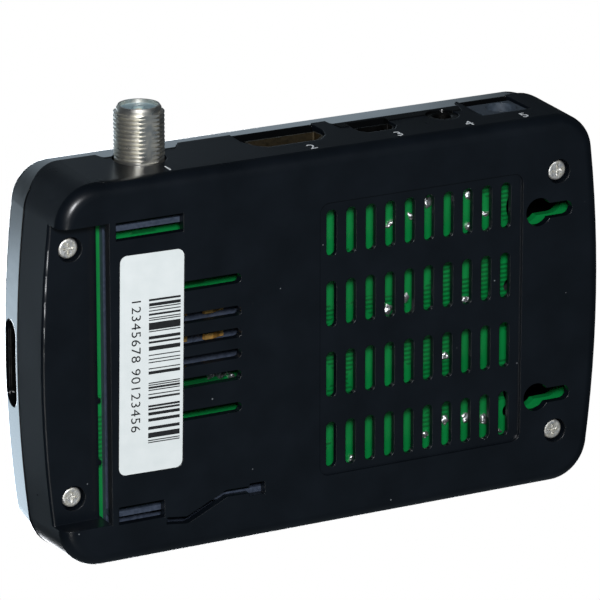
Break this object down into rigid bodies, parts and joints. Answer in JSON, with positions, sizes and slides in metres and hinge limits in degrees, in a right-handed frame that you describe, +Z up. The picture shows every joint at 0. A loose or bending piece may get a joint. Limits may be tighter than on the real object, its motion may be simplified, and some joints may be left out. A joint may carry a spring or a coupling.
{
  "type": "satellite receiver",
  "caption": "Pocket-sized satellite receiver in a two-part black case, with a threaded tuner socket, ports along one side, a card recess and vents underneath.",
  "frame": {"origin": "on the underside, at the middle of the bounding box, which takes in the tuner thread", "axes": "+X towards the card recess and the USB port, +Y towards the connector panel, +Z up to the top cover"},
  "size_m": [0.118, 0.0851, 0.0236],
  "materials": {
    "case_black": "satin moulded ABS, blue-black",
    "cover_black": "polished black ABS",
    "tinted_lens": "dark tinted acrylic",
    "label_paper": "coated paper label",
    "screw_zinc": "bright zinc plate",
    "board_green": "green solder mask on glass epoxy",
    "solder": "solder",
    "nickel": "nickel plate",
    "white_insulator": "natural plastic",
    "gold_contact": "gold flash",
    "tin_sheet": "tinned steel sheet",
    "socket_black": "black nylon",
    "socket_grey": "grey nylon",
    "chip_black": "moulded epoxy",
    "pad_grey": "silicone",
    "sink_aluminium": "extruded",
    "crystal_can": "drawn can",
    "ferrite": "moulded ferrite",
    "capacitor_can": "drawn can",
    "ceramic_tan": "fired ceramic",
    "lamp_red": "tinted epoxy"
  },
  "bodies": {
    "receiver": {"bottom_case": "case_black", "top_cover": "cover_black", "front_window": "tinted_lens", "serial_label": "label_paper", "case_screws": "screw_zinc", "main_board": "board_green", "solder_joints": "solder", "tuner_connector_body": "nickel", "tuner_insulator": "white_insulator", "tuner_contact": "gold_contact", "tuner_can_frame": "tin_sheet", "tuner_can_lid": "tin_sheet", "tuner_chip": "chip_black", "hd_output_shell": "tin_sheet", "hd_output_tongue": "socket_black", "hd_output_contacts": "gold_contact", "ir_port_shell": "tin_sheet", "ir_port_tongue": "socket_black", "ir_port_contacts": "gold_contact", "av_jack_body": "socket_black", "av_jack_bush": "nickel", "av_jack_terminals": "tin_sheet", "dc_jack_body": "socket_grey", "dc_jack_pin": "nickel", "dc_jack_terminals": "tin_sheet", "usb_port_shell": "tin_sheet", "usb_port_riser": "socket_black", "usb_port_tongue": "socket_black", "usb_port_contacts": "gold_contact", "card_reader_body": "socket_black", "card_reader_contacts": "gold_contact", "main_chip": "chip_black", "thermal_pad": "pad_grey", "heat_sink": "sink_aluminium", "memory_chip": "chip_black", "flash_chip": "chip_black", "crystal": "crystal_can", "power_inductors": "ferrite", "electrolytic_capacitors": "capacitor_can", "voltage_regulators": "chip_black", "small_capacitors": "ceramic_tan", "ir_receiver": "chip_black", "status_led": "lamp_red"},
    "card_lever": {"card_switch_lever": "white_insulator"},
    "power_spring": {"dc_jack_spring": "tin_sheet"}
  },
  "joints": [
    {"name": "card_lever_pivot", "type": "hinge", "parent": "receiver", "child": "card_lever", "pos_m": [0.0172, -0.02405, 0.00385], "axis": [0, 0, 1], "range_deg": [0, 6], "stiffness_Nm_per_rad": 0.002},
    {"name": "power_spring_pivot", "type": "hinge", "parent": "receiver", "child": "power_spring", "pos_m": [-0.03885, 0.02385, 0.0111], "axis": [0, 0, -1], "range_deg": [0, 4.5], "stiffness_Nm_per_rad": 0.02}
  ]
}
